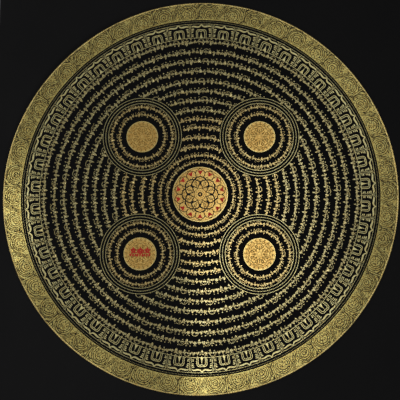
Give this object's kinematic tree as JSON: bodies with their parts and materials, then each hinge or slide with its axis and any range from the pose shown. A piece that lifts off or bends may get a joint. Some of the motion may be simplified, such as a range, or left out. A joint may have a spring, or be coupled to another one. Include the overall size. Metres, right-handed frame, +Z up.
{
  "type": "unmounted thangka scroll painting, the painted cloth alone",
  "caption": "Square painted cotton hanging, black ground with a gold ringed circle, held along its top edge, hanging in shallow swells.",
  "frame": {"origin": "middle of the cloth's top edge, halfway through its thickness", "axes": "+Z up, +X to the right seen from the front, the painted face towards -Y"},
  "size_m": [0.52, 0.0061, 0.52],
  "materials": {
    "black_ground": "matt black ground colour over a chalk and glue size, plain cotton weave showing through",
    "gold_paint": "hand-laid gold paint, satin, thinner and browner where the brush ran dry",
    "red_paint": "matt vermilion accents",
    "bare_cotton": "sized unbleached plain-weave cotton, the back of the cloth"
  },
  "bodies": {
    "root": {"painted_cloth": "black_ground"}
  },
  "joints": []
}
